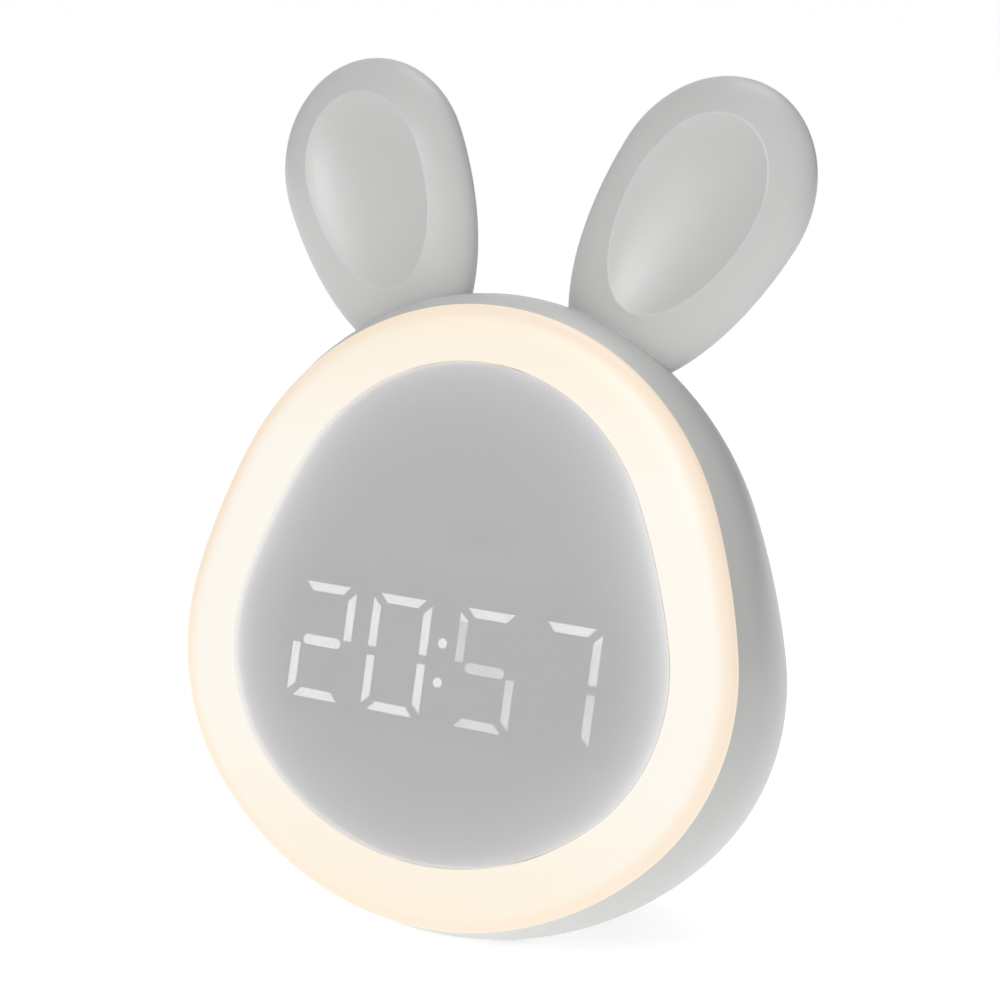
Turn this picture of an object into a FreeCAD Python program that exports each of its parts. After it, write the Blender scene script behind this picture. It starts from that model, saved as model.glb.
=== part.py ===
import FreeCAD, Part
import math
import os
from FreeCAD import Matrix, Vector

# Children's alarm clock with a night light: a rounded-triangle body with two ears,
# a lit ring round a grey window, and a numeric display behind the window.
#
# Sizes are millimetres. Two frames are used.
# Face frame: x to the right, y up along the leaning face, z out of the face.
# The origin is the middle of the window, and a depth d behind the face is z = -d.
# Standing frame: x to the right, y to the rear, z up, with z = 0 on the table.

# Stance
FACE_LEAN = 14.0
FACE_HEIGHT = 73.5

# Window outline: half width, top, bottom, then the radii of its tangent arcs
WINDOW_HALF_WIDTH = 52.8
WINDOW_TOP = 52.1
WINDOW_BOTTOM = 55.9
WINDOW_TOP_R = 45.7
WINDOW_CORNER_R = 39.6
WINDOW_SIDE_R = 146.0
WINDOW_BOTTOM_R = 59.0

# Outline of the light ring, which is also the front edge of the case
RING_HALF_WIDTH = 66.5
RING_TOP = 64.3
RING_BOTTOM = 69.2
RING_TOP_R = 61.7
RING_CORNER_R = 51.4
RING_SIDE_R = 142.5
RING_BOTTOM_R = 72.0

# Case: wall, depth behind the face at the middle, and how it swells and rounds off
WALL = 2.2
CASE_DEPTH = 42.7
BULGE = 3.4
BULGE_DEPTH = 15.0
DOME_WIDTH = 23.1
FLANK_STEPS = 3
DOME_STEPS = 6

# Parting plane between front housing and rear cover, and its tongue and rebate
PARTING_DEPTH = 30.0
PARTING_TILT = 7.4
TONGUE_LENGTH = 2.4
TONGUE_GAP = 0.12

# Ears: flattened eggs, blunt end up, whose axis leans outwards
EAR_X = 40.9
EAR_Y = 92.9
EAR_DEPTH = 14.0
EAR_TILT = 27.1
EAR_UPPER = 25.1
EAR_LOWER = 45.8
EAR_HALF_WIDTH = 22.9
EAR_HALF_THICKNESS = 7.3

# Ovals that make up half of an ear's hidden skin, and how far short of its tip they end
CORE_STEPS = 4
CORE_END = 0.3

# Shallow dish in the front of each ear
DISH_X = 39.5
DISH_Y = 89.5
DISH_UPPER = 21.4
DISH_LOWER = 26.2
DISH_HALF_WIDTH = 14.7
DISH_RIM_DEPTH = 8.3
DISH_SAG = 2.0
DISH_REACH = 1.2

# Light ring
RING_ROUND_WIDTH = 6.0
RING_ROUND_DEPTH = 2.1
RING_LIP = 0.9
RING_WALL = 1.9
RING_SKIRT = 1.5
RING_SKIRT_DEPTH = 8.0
RING_INNER_SKIRT = 1.0
FIT_GAP = 0.15

# Window panel
WINDOW_THICKNESS = 1.2

# Light frame: the white moulding that carries the window, display and ring board
FRAME_DEPTH = 12.0
FRAME_THICKNESS = 1.6
FRAME_EDGE_GAP = 0.4
FRAME_WALL = 1.5
FRAME_WALL_GAP = 0.7
CABLE_HOLE_WIDTH = 16.0
CABLE_HOLE_HEIGHT = 6.0
CABLE_HOLE_Y = 12.0

# Ring board and its light-emitting diodes
BOARD = 1.6
BOARD_MARGIN = 0.5
LED_COUNT = 24
LED_LENGTH = 3.5
LED_WIDTH = 2.8
LED_HEIGHT = 0.8

# Display: four upright seven-segment digits and a colon
DISPLAY_X = -0.9
DISPLAY_Y = -12.65
DISPLAY_HALF_WIDTH = 40.0
DISPLAY_HALF_HEIGHT = 15.5
DISPLAY_GAP = 0.1
DIGIT_HEIGHT = 25.4
DIGIT_WIDTH = 14.6
DIGIT_PITCH = 18.93
COLON_SPACE = 2.6
COLON_SPREAD = 8.43
COLON_R = 1.1
SEGMENT_WIDTH = 2.0
SEGMENT_BEVEL = 1.8
SEGMENT_INSET = 1.65
SEGMENT_TIP = 1.1
SEGMENT_SPLIT = 0.95
MIDDLE_HALF_LENGTH = 4.75
MIDDLE_WIDTH = 2.3
SEGMENT_DEPTH = 1.2
SEGMENT_GAP = 0.05
TIME_SHOWN = "2057"
SEGMENTS_LIT = {
    "0": "abcdef", "1": "bc", "2": "abged", "3": "abgcd", "4": "fgbc",
    "5": "afgcd", "6": "afgedc", "7": "abc", "8": "abcdefg", "9": "abfgcd",
}

# Buttons on the back face
BUTTON_NAMES = ("down", "set", "light", "alarm", "up")
BUTTON_PITCH = 15.0
BUTTON_Z = 50.0
BUTTON_R = 4.2
BUTTON_GAP = 0.3
BUTTON_PROUD = 1.2
BUTTON_EDGE = 0.5
BUTTON_FLANGE = 1.2
BUTTON_FLANGE_THICKNESS = 1.0
BUTTON_STEM_R = 1.5
BUTTON_ENTRY = 0.6
BUTTON_TRAVEL = 0.8
REST_GAP = 0.1

# Main board behind the back face
BOARD_STANDOFF = 5.2
MAIN_BOARD_HALF_WIDTH = 38.0
MAIN_BOARD_BOTTOM = 25.0
MAIN_BOARD_TOP = 65.0
POST_X = 33.0
POST_INSET = 5.0
POST_R = 2.6

# Push switches, charging socket and power switch on the main board
SWITCH_SIZE = 6.0
SWITCH_HEIGHT = 3.2
SWITCH_WELL_GAP = 0.3
SWITCH_WELL_FLOOR = 0.3
SOCKET_X = 9.0
SOCKET_Z = 33.0
SOCKET_WIDTH = 8.9
SOCKET_HEIGHT = 3.2
SOCKET_SKIN = 0.3
SOCKET_RECESS = 0.4
SOCKET_TONGUE_WIDTH = 6.6
SOCKET_TONGUE_THICKNESS = 0.7
SOCKET_TONGUE_LENGTH = 4.5
SLOT_GAP = 0.4
SLIDER_X = -12.0
SLIDER_TRAVEL = 2.0
SLIDER_WIDTH = 3.0
SLIDER_PROUD = 0.8
SLIDER_PLATE = 0.8
SLIDER_PIN = 1.5
SLIDER_PIN_ENTRY = 1.2
SLIDER_COVER = 1.3
POWER_SWITCH_LENGTH = 10.0
POWER_SWITCH_WIDTH = 4.4
POWER_SWITCH_HEIGHT = 3.4

# Speaker behind its holes in the back face
SPEAKER_Z = 85.0
SPEAKER_R = 18.0
SPEAKER_FLANGE = 2.5
SPEAKER_FLANGE_THICKNESS = 1.0
SPEAKER_DEPTH = 10.5
SPEAKER_STEEL = 0.8
CONE_THICKNESS = 0.4
CONE_DEPTH = 3.5
DUST_CAP_R = 5.0
MAGNET_R = 9.0
MAGNET_HEIGHT = 4.0
SURROUND = 1.0
SURROUND_GAP = 0.2
GASKET_THICKNESS = 0.8
COLLAR_WALL = 1.2
COLLAR_HEIGHT = 3.0
GRILLE_HOLE_R = 1.0
GRILLE_PITCH = 3.6
GRILLE_RINGS = 3

# Battery: flat pouch cell taped to the back of the light frame
CELL_WIDTH = 50.0
CELL_HEIGHT = 38.0
CELL_THICKNESS = 8.0
CELL_Y = -30.0
CELL_CORNER_R = 2.0
TAPE = 1.0
TAPE_MARGIN = 4.0

# Screws and what they hold
SCREW_R = 1.3
SCREW_HEAD_R = 2.4
SCREW_HEAD = 1.6
SCREW_SLOT = 0.7
SCREW_GAP = 0.05
PILOT_FLOOR = 1.0
HOLE_GAP = 0.2
HEAD_GAP = 0.4
BOSS_R = 3.8
WEB = 2.0
CASE_SCREW_ANGLES = (36.0, 120.0)
CASE_SCREW_INSET = 9.0
CASE_SCREW_LENGTH = 10.0
CASE_SCREW_SEAT = 2.5
FRAME_SCREW_ANGLES = (60.0, 150.0)
FRAME_SCREW_INSET = 8.0
FRAME_SCREW_LENGTH = 8.0
BOARD_SCREW_LENGTH = 6.0
LUG_LENGTH = 7.0

# Parts on the inner side of the main board: width, height, thickness, x and z
CHIP = (12.0, 12.0, 1.4, -6.0, 40.0)
MEMORY = (5.0, 6.0, 1.4, 10.0, 44.0)
CRYSTAL = (11.0, 4.5, 3.4, -24.0, 38.0)
CONNECTOR = (8.0, 5.0, 5.0, 24.0, 40.0)

# Feet under the flat base
FOOT_R = 3.5
FOOT_PROUD = 1.0
FOOT_RECESS = 0.8
FOOT_X = 14.0
FRONT_FOOT_Y = 4.5
REAR_FOOT_Y = 26.5

RING_SEAT = RING_ROUND_DEPTH + RING_LIP

# A block bigger than the clock, and how far a cut runs past the wall it goes through
BIG = 400.0
OVERCUT = 1.0

BACK_Y = CASE_DEPTH * math.cos(math.radians(FACE_LEAN))
SWITCH_BASE = WALL + BOARD_STANDOFF


class Outline:
    """Rounded triangle of six tangent arcs, symmetrical about x = 0."""

    def __init__(self, half_width, top, bottom, top_r, corner_r, side_r, bottom_r):
        corner_x = half_width - corner_r
        bottom_y = bottom_r - bottom
        corner_y = bottom_y - math.sqrt((bottom_r - corner_r) ** 2 - corner_x ** 2)
        top_y = top - top_r
        # The side arc touches the top and corner arcs from outside both.
        gap = math.hypot(corner_x, corner_y - top_y)
        along = ((side_r - top_r) ** 2 - (side_r - corner_r) ** 2 + gap ** 2) / (2 * gap)
        across = math.sqrt((side_r - top_r) ** 2 - along ** 2)
        ux = corner_x / gap
        uy = (corner_y - top_y) / gap
        side_x = along * ux + across * uy
        side_y = top_y + along * uy - across * ux
        # Angles run from +y towards +x.
        first = math.atan2(-side_x, top_y - side_y)
        second = math.atan2(corner_x - side_x, corner_y - side_y)
        third = math.atan2(corner_x, corner_y - bottom_y)
        self.arcs = [
            (0.0, top_y, top_r, 0.0, first),
            (side_x, side_y, side_r, first, second),
            (corner_x, corner_y, corner_r, second, third),
            (0.0, bottom_y, bottom_r, third, math.pi),
        ]

    def edge_point(self, angle, offset=0.0):
        """Point where the ray at this angle in degrees crosses the offset outline."""
        heading = math.radians(angle)
        dx = math.sin(abs(heading))
        dy = math.cos(heading)
        for x, y, radius, start, end in self.arcs:
            towards = x * dx + y * dy
            reach = towards + math.sqrt(towards ** 2 - x * x - y * y + (radius + offset) ** 2)
            bearing = math.atan2(reach * dx - x, reach * dy - y)
            if start - 1e-9 <= bearing <= end + 1e-9:
                break
        return Vector(math.copysign(reach * dx, heading), reach * dy, 0)

    def wire(self, offset=0.0, depth=0.0, tilt=0.0):
        """Offset outline in a plane that is tilted back at the bottom."""
        def arc(x, y, radius, start, end):
            points = []
            for angle in (start, (start + end) / 2, end):
                points.append(Vector(x + radius * math.sin(angle), y + radius * math.cos(angle), 0))
            return Part.Arc(*points).toShape()

        top, side, corner, bottom = self.arcs
        edges = [arc(top[0], top[1], top[2] + offset, -top[4], top[4])]
        for x, y, radius, start, end in (side, corner):
            edges.append(arc(x, y, radius + offset, start, end))
        edges.append(arc(0, bottom[1], bottom[2] + offset, bottom[3], 2 * math.pi - bottom[3]))
        for x, y, radius, start, end in (corner, side):
            edges.append(arc(-x, y, radius + offset, -end, -start))
        outline = Part.Wire(edges)
        outline.rotate(Vector(0, 0, 0), Vector(1, 0, 0), tilt)
        outline.translate(Vector(0, 0, -depth))
        return outline

    def prism(self, offset, near, far):
        """Solid inside the offset outline between two depths."""
        return Part.Face(self.wire(offset, near)).extrude(Vector(0, 0, near - far))


WINDOW = Outline(WINDOW_HALF_WIDTH, WINDOW_TOP, WINDOW_BOTTOM, WINDOW_TOP_R,
                 WINDOW_CORNER_R, WINDOW_SIDE_R, WINDOW_BOTTOM_R)
RING = Outline(RING_HALF_WIDTH, RING_TOP, RING_BOTTOM, RING_TOP_R,
               RING_CORNER_R, RING_SIDE_R, RING_BOTTOM_R)


def both_sides(shape):
    """The shape and its mirror image across x = 0, in one list."""
    return [shape, shape.mirror(Vector(0, 0, 0), Vector(1, 0, 0))]


def joined(shapes):
    """One clean solid from overlapping shapes."""
    first = shapes[0]
    if len(shapes) > 1:
        first = first.fuse(shapes[1:]).removeSplitter()
    return first


def stand(shape):
    """Carry a shape from the face frame to the standing frame."""
    placed = shape.copy()
    placed.rotate(Vector(0, 0, 0), Vector(1, 0, 0), 90 - FACE_LEAN)
    placed.translate(Vector(0, 0, FACE_HEIGHT))
    return placed


def face_rod(radius, x, y, near, far):
    """Cylinder along the face's depth."""
    return Part.makeCylinder(radius, far - near, Vector(x, y, -near), Vector(0, 0, -1))


def face_block(x0, x1, y0, y1, near, far):
    """Box between two depths behind the face."""
    return Part.makeBox(x1 - x0, y1 - y0, far - near, Vector(x0, y0, -far))


def back_rod(radius, x, z, near, far):
    """Cylinder square to the back face. Its ends are distances inside that face."""
    return Part.makeCylinder(radius, far - near, Vector(x, BACK_Y - far, z), Vector(0, 1, 0))


def back_block(x0, x1, z0, z1, near, far):
    """Box square to the back face, between two distances inside that face."""
    return Part.makeBox(x1 - x0, far - near, z1 - z0, Vector(x0, BACK_Y - far, z0))


def back_slot(width, height, x, z, near, far):
    """Round-ended bar square to the back face, lying along x."""
    radius = height / 2
    reach = (width - height) / 2
    bar = back_block(x - reach, x + reach, z - radius, z + radius, near, far)
    ends = [back_rod(radius, x + side * reach, z, near, far) for side in (-1, 1)]
    return joined([bar] + ends)


def on_back(shape, x, z, distance):
    """Stand a shape, made round z and open upwards, square to the back face.

    Its z = 0 comes to the given distance inside that face, and its +z points inwards.
    """
    placed = shape.copy()
    placed.rotate(Vector(0, 0, 0), Vector(1, 0, 0), 90)
    placed.translate(Vector(x, BACK_Y - distance, z))
    return placed


def turned(profile):
    """Solid of revolution round z from (radius, z) corners."""
    points = [Vector(radius, 0, height) for radius, height in profile]
    face = Part.Face(Part.makePolygon(points + points[:1]))
    return face.revolve(Vector(0, 0, 0), Vector(0, 0, 1), 360)


def egg(upper, lower, half_width, half_thickness):
    """Flattened egg with its axis along y: two half ellipsoids that share their widest oval."""
    halves = []
    for half_length, low, high in ((upper, 0, 90), (lower, -90, 0)):
        half = Part.makeSphere(1, Vector(0, 0, 0), Vector(0, 1, 0), low, high, 360)
        stretch = Matrix()
        stretch.A11 = half_width
        stretch.A22 = half_length
        stretch.A33 = half_thickness
        halves.append(half.transformGeometry(stretch))
    return halves[0].fuse(halves[1])


def egg_prism(upper, lower, half_width, near, far):
    """Slab with the egg's outline, between two depths."""
    halves = []
    for half_length, side in ((upper, 1), (lower, -1)):
        half = Part.makeCylinder(1, far - near, Vector(0, 0, -far), Vector(0, 0, 1))
        half = half.common(Part.makeBox(4, 4, BIG, Vector(-2, min(0, 4 * side), -BIG)))
        stretch = Matrix()
        stretch.A11 = half_width
        stretch.A22 = half_length
        halves.append(half.transformGeometry(stretch))
    return halves[0].fuse(halves[1])


def on_ear_axis(shape, x, y):
    """Turn a shape outwards like the right ear and move its middle to x, y."""
    shape.rotate(Vector(0, 0, 0), Vector(0, 0, 1), -EAR_TILT)
    shape.translate(Vector(x, y, 0))
    return shape


def ear_dish(grown):
    """What the dish takes out of the right ear: bowl-shaped outside, flat-backed inside."""
    floor = DISH_RIM_DEPTH + DISH_SAG + grown
    dish = egg_prism(DISH_UPPER + grown, DISH_LOWER + grown, DISH_HALF_WIDTH + grown, 0, floor)
    if grown == 0:
        roundness = DISH_SAG / (1 - math.sqrt(1 - 1 / DISH_REACH ** 2))
        bowl = egg(DISH_UPPER * DISH_REACH, DISH_LOWER * DISH_REACH,
                   DISH_HALF_WIDTH * DISH_REACH, roundness)
        bowl.translate(Vector(0, 0, roundness - floor))
        dish = dish.common(bowl)
    return on_ear_axis(dish, DISH_X, DISH_Y)


def egg_core(upper, lower, half_width, half_thickness):
    """Egg that runs straight between oval sections, for skins that don't show."""
    sections = []
    for step in range(-CORE_STEPS, CORE_STEPS + 1):
        angle = math.pi / 2 * step / (CORE_STEPS + CORE_END)
        scale = math.cos(angle)
        height = math.sin(angle) * (upper if step > 0 else lower)
        oval = Part.Ellipse(Vector(0, height, 0), half_width * scale, half_thickness * scale)
        oval = Part.Wire(oval.toShape())
        oval.rotate(Vector(0, height, 0), Vector(1, 0, 0), 90)
        sections.append(oval)
    return Part.makeLoft(sections, True, True)


def ear_form(inset):
    """Right ear, shrunk on every side by the inset."""
    form = egg_core if inset > 0 else egg
    shape = form(EAR_UPPER - inset, EAR_LOWER - inset, EAR_HALF_WIDTH - inset,
                 EAR_HALF_THICKNESS - inset)
    shape.translate(Vector(0, 0, -EAR_DEPTH))
    return on_ear_axis(shape, EAR_X, EAR_Y)


def body_form(inset):
    """Body behind the ring: it swells, then rounds off to an upright back.

    The outer skin is smooth. The hidden inner skins run straight between the sections.
    """
    def tilt(depth):
        share = (depth - RING_SEAT) / (CASE_DEPTH - RING_SEAT)
        return math.degrees(math.atan(share * math.tan(math.radians(FACE_LEAN))))

    sections = []
    for step in range(FLANK_STEPS):
        left = 1 - step / FLANK_STEPS
        depth = BULGE_DEPTH - left * (BULGE_DEPTH - RING_SEAT)
        sections.append(RING.wire(BULGE * (1 - left ** 2) - inset, depth, tilt(depth)))
    dome_depth = CASE_DEPTH - BULGE_DEPTH
    for step in range(DOME_STEPS + 1):
        angle = math.pi / 2 * step / DOME_STEPS
        offset = BULGE - inset - (DOME_WIDTH - inset) * (1 - math.cos(angle))
        depth = BULGE_DEPTH + (dome_depth - inset) * math.sin(angle)
        outer_depth = BULGE_DEPTH + dome_depth * math.sin(angle)
        sections.append(RING.wire(offset, depth, tilt(outer_depth)))
    return Part.makeLoft(sections, True, inset > 0)


def case_form(inset):
    """Standing body and ears, shrunk by the inset, with a flat base."""
    pieces = [body_form(inset)]
    for ear in both_sides(ear_form(inset).cut(ear_dish(inset))):
        pieces.append(ear)
    form = stand(pieces[0].fuse(pieces[1:]))
    below = Part.makeBox(BIG, BIG, BIG, Vector(-BIG / 2, -BIG / 2, FOOT_PROUD + inset - BIG))
    return form.cut(below)


def behind_parting(forward=0.0):
    """Everything behind the parting plane, moved forward by a distance."""
    block = Part.makeBox(BIG, BIG, BIG, Vector(-BIG / 2, -BIG / 2, -BIG))
    block.rotate(Vector(0, 0, 0), Vector(1, 0, 0), PARTING_TILT)
    block.translate(Vector(0, 0, forward - PARTING_DEPTH))
    return stand(block)


def parting_depth(y):
    """Depth of the parting plane at a height on the face."""
    return PARTING_DEPTH - y * math.tan(math.radians(PARTING_TILT))


def headings(angles):
    """Each angle on the right, then the same on the left."""
    return [side * angle for angle in angles for side in (1, -1)]


def screw(length):
    """Pan-head screw: its seat at z = 0, its shank up z, a crossed slot in its head."""
    body = turned([(0, -SCREW_HEAD), (SCREW_HEAD_R / 2, -SCREW_HEAD), (SCREW_HEAD_R, -SCREW_HEAD / 2),
                   (SCREW_HEAD_R, 0), (SCREW_R, 0), (SCREW_R, length - SCREW_R / 2),
                   (SCREW_R / 2, length), (0, length)])
    arm = SCREW_HEAD_R / 2
    for x, y in ((arm, SCREW_SLOT / 2), (SCREW_SLOT / 2, arm)):
        body = body.cut(Part.makeBox(2 * x, 2 * y, SCREW_HEAD / 2, Vector(-x, -y, -SCREW_HEAD)))
    return body


def boss(angle, inset, near, far, web_far):
    """Screw boss with a web towards the wall, to be clipped by the wall itself."""
    middle = RING.edge_point(angle, -inset)
    rod = face_rod(BOSS_R, middle.x, middle.y, near, far)
    web = face_block(-WEB / 2, WEB / 2, 0, inset + 2 * BULGE, near, web_far)
    web.rotate(Vector(0, 0, 0), Vector(0, 0, 1), -angle)
    web.translate(middle)
    return stand(rod.fuse(web))


def case_screw_seam(angle):
    """Screw axis and the depth at which the two halves of its boss meet."""
    middle = RING.edge_point(angle, -CASE_SCREW_INSET)
    return middle, parting_depth(middle.y)


def feet(y):
    """A pair of round feet, let into the flat base."""
    height = FOOT_PROUD + FOOT_RECESS
    return [Part.makeCylinder(FOOT_R, height, Vector(x, y, 0)) for x in (FOOT_X, -FOOT_X)]


def case_pieces():
    """Front housing, rear cover and the two caps that close the ears from behind."""
    outside = case_form(0)
    inside = case_form(WALL)
    half_wall = case_form(WALL / 2)
    shell = outside.cut(inside)
    rear = behind_parting()
    rim = behind_parting(TONGUE_LENGTH).cut(rear)

    posts = []
    hollows = [rear, rim.common(half_wall)] + feet(FRONT_FOOT_Y)
    for angle in headings(CASE_SCREW_ANGLES):
        middle, seam = case_screw_seam(angle)
        near = seam - CASE_SCREW_LENGTH
        posts.append(boss(angle, CASE_SCREW_INSET, near, seam, seam - 2 * TONGUE_LENGTH))
        hollows.append(stand(face_rod(SCREW_R + SCREW_GAP, middle.x, middle.y,
                                      near + PILOT_FLOOR, seam)))
    for angle in headings(FRAME_SCREW_ANGLES):
        near = FRAME_DEPTH + FRAME_THICKNESS
        far = near + LUG_LENGTH
        middle = RING.edge_point(angle, -FRAME_SCREW_INSET)
        posts.append(boss(angle, FRAME_SCREW_INSET, near, far, far))
        hollows.append(stand(face_rod(SCREW_R + SCREW_GAP, middle.x, middle.y, near, far)))
    posts = [post.common(half_wall) for post in posts]
    front = shell.fuse(posts).cut(hollows)

    tongue = case_form(WALL / 2 + TONGUE_GAP).cut(inside)
    tongue = tongue.common(behind_parting(TONGUE_LENGTH - TONGUE_GAP))
    behind = shell.common(rear).fuse(tongue.common(rim))
    parts = sorted(behind.Solids, key=lambda solid: solid.CenterOfMass.z)
    cover = parts[0]
    caps = sorted(parts[1:], key=lambda solid: solid.CenterOfMass.x)
    return front, rear_cover(cover, half_wall), caps


def button_places():
    """Each button's name and its x, from left to right as seen from the front."""
    middle = (len(BUTTON_NAMES) - 1) / 2
    return [(name, (i - middle) * BUTTON_PITCH) for i, name in enumerate(BUTTON_NAMES)]


def board_posts():
    """Places of the posts that carry the main board."""
    heights = (MAIN_BOARD_BOTTOM + POST_INSET, MAIN_BOARD_TOP - POST_INSET)
    return [(x, z) for z in heights for x in (POST_X, -POST_X)]


def grille_holes():
    """Hexagonal pattern of round holes in front of the speaker."""
    holes = []
    for row in range(-GRILLE_RINGS, GRILLE_RINGS + 1):
        count = 2 * GRILLE_RINGS + 1 - abs(row)
        z = SPEAKER_Z + row * GRILLE_PITCH * math.sqrt(3) / 2
        for i in range(count):
            x = (i - (count - 1) / 2) * GRILLE_PITCH
            holes.append(back_rod(GRILLE_HOLE_R, x, z, -OVERCUT, WALL + OVERCUT))
    return holes


def slider_block(width, height, x, near, far):
    """Box at the power switch's height, square to the back face."""
    return back_block(x - width / 2, x + width / 2, SOCKET_Z - height / 2,
                      SOCKET_Z + height / 2, near, far)


def rear_cover(cover, half_wall):
    """Rear cover with its screw tubes, board posts, speaker collar and openings."""
    added = []
    hollows = feet(REAR_FOOT_Y) + grille_holes()
    for angle in headings(CASE_SCREW_ANGLES):
        middle, seam = case_screw_seam(angle)
        seat = seam + CASE_SCREW_SEAT
        well = SCREW_HEAD_R + HEAD_GAP
        added.append(stand(face_rod(BOSS_R, middle.x, middle.y, seam, CASE_DEPTH + BULGE)))
        hollows.append(stand(face_rod(SCREW_R + HOLE_GAP, middle.x, middle.y, seam, seat)))
        hollows.append(stand(face_rod(well, middle.x, middle.y, seat, CASE_DEPTH + DOME_WIDTH)))
    added = [tube.common(half_wall) for tube in added]
    for x, z in board_posts():
        added.append(back_rod(POST_R, x, z, WALL / 2, SWITCH_BASE))
        hollows.append(back_rod(SCREW_R + SCREW_GAP, x, z, WALL, SWITCH_BASE))
    bore = SPEAKER_R + FIT_GAP
    collar = back_rod(bore + COLLAR_WALL, 0, SPEAKER_Z, WALL / 2, WALL + COLLAR_HEIGHT)
    added.append(collar.cut(back_rod(bore, 0, SPEAKER_Z, WALL / 2, WALL + COLLAR_HEIGHT)))
    near = -OVERCUT
    far = WALL + OVERCUT
    for name, x in button_places():
        hollows.append(back_rod(BUTTON_R + BUTTON_GAP, x, BUTTON_Z, near, far))
    hollows.append(back_slot(SOCKET_WIDTH + 2 * SLOT_GAP, SOCKET_HEIGHT + 2 * SLOT_GAP,
                             SOCKET_X, SOCKET_Z, near, far))
    hollows.append(slider_block(SLIDER_WIDTH + SLIDER_TRAVEL + 2 * SLOT_GAP,
                                SLIDER_WIDTH + 2 * SLOT_GAP, SLIDER_X, near, far))
    return cover.fuse(added).cut(hollows)


def crown():
    """Rounded outer edge of the ring: a quarter ellipse swept round the outline's arcs."""
    across = Part.Ellipse(Vector(0, 0, 0), RING_ROUND_WIDTH, RING_ROUND_DEPTH)
    curve = Part.ArcOfEllipse(across, 0, math.pi / 2).toShape()
    corner = Vector(0, 0, 0)
    side = Part.makeLine(corner, Vector(RING_ROUND_WIDTH, 0, 0))
    rise = Part.makeLine(Vector(0, RING_ROUND_DEPTH, 0), corner)
    profile = Part.Face(Part.Wire([side, curve, rise]))
    profile.rotate(corner, Vector(1, 0, 0), 90)
    sectors = []
    for x, y, radius, start, end in RING.arcs:
        sweep = math.degrees(end - start)
        sector = profile.copy()
        sector.translate(Vector(radius - RING_ROUND_WIDTH, 0, -RING_ROUND_DEPTH))
        sector = sector.revolve(corner, Vector(0, 0, 1), sweep)
        sector.rotate(corner, Vector(0, 0, 1), 90 - math.degrees(end))
        sector.translate(Vector(x, y, 0))
        sectors.extend(both_sides(sector))
    return joined(sectors)


def light_pieces():
    """Lit ring, window, and the frame with the ring board and its diodes."""
    outer = WALL + FIT_GAP
    skirt_end = RING_SKIRT_DEPTH - RING_INNER_SKIRT
    trough = RING.prism(-outer - RING_SKIRT, RING_WALL, RING_SKIRT_DEPTH)
    trough = trough.cut(WINDOW.prism(RING_INNER_SKIRT, RING_WALL, skirt_end))
    ring = crown().fuse([RING.prism(-RING_ROUND_WIDTH, 0, RING_ROUND_DEPTH),
                         RING.prism(0, RING_ROUND_DEPTH, RING_SEAT),
                         RING.prism(-outer, RING_ROUND_DEPTH, RING_SKIRT_DEPTH)])
    ring = ring.cut([trough, WINDOW.prism(0, -RING_WALL, RING_SKIRT_DEPTH)]).removeSplitter()

    window = WINDOW.prism(-FIT_GAP, 0, WINDOW_THICKNESS)

    far = FRAME_DEPTH + FRAME_THICKNESS
    wall = WINDOW.prism(-FRAME_WALL_GAP, WINDOW_THICKNESS, FRAME_DEPTH)
    wall = wall.cut(WINDOW.prism(-FRAME_WALL_GAP - FRAME_WALL, WINDOW_THICKNESS, FRAME_DEPTH))
    plate = RING.prism(-WALL - FRAME_EDGE_GAP, FRAME_DEPTH, far)
    board = RING.prism(-outer - RING_SKIRT - BOARD_MARGIN, FRAME_DEPTH - BOARD, FRAME_DEPTH)
    board = board.cut(WINDOW.prism(BOARD_MARGIN - FRAME_WALL_GAP, FRAME_DEPTH - BOARD, FRAME_DEPTH))
    holes = []
    for angle in headings(FRAME_SCREW_ANGLES):
        middle = RING.edge_point(angle, -FRAME_SCREW_INSET)
        holes.append(face_rod(SCREW_R + HOLE_GAP, middle.x, middle.y, FRAME_DEPTH - BOARD, far))
    slot = face_block(-CABLE_HOLE_WIDTH / 2, CABLE_HOLE_WIDTH / 2, CABLE_HOLE_Y,
                      CABLE_HOLE_Y + CABLE_HOLE_HEIGHT, FRAME_DEPTH, far)
    frame = plate.fuse(wall).cut(holes + [slot])
    board = board.cut(holes)

    diodes = []
    for i in range(LED_COUNT):
        angle = (i + 0.5) * 360 / LED_COUNT - 180
        middle = (RING.edge_point(angle) + WINDOW.edge_point(angle)) / 2
        diode = face_block(-LED_LENGTH / 2, LED_LENGTH / 2, -LED_WIDTH / 2, LED_WIDTH / 2,
                           FRAME_DEPTH - BOARD - LED_HEIGHT, FRAME_DEPTH - BOARD)
        diode.rotate(Vector(0, 0, 0), Vector(0, 0, 1), -angle)
        diode.translate(middle)
        diodes.append(diode)
    return {
        "diffuser_ring": stand(ring),
        "display_window": stand(window),
        "light_frame": stand(frame),
        "ring_led_board": stand(board),
        "ring_leds": stand(Part.makeCompound(diodes)),
    }


def flat_bar(corners, near, far):
    """Straight-edged bar between two depths."""
    points = [Vector(x, y, -near) for x, y in corners]
    return Part.Face(Part.makePolygon(points + points[:1])).extrude(Vector(0, 0, near - far))


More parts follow.
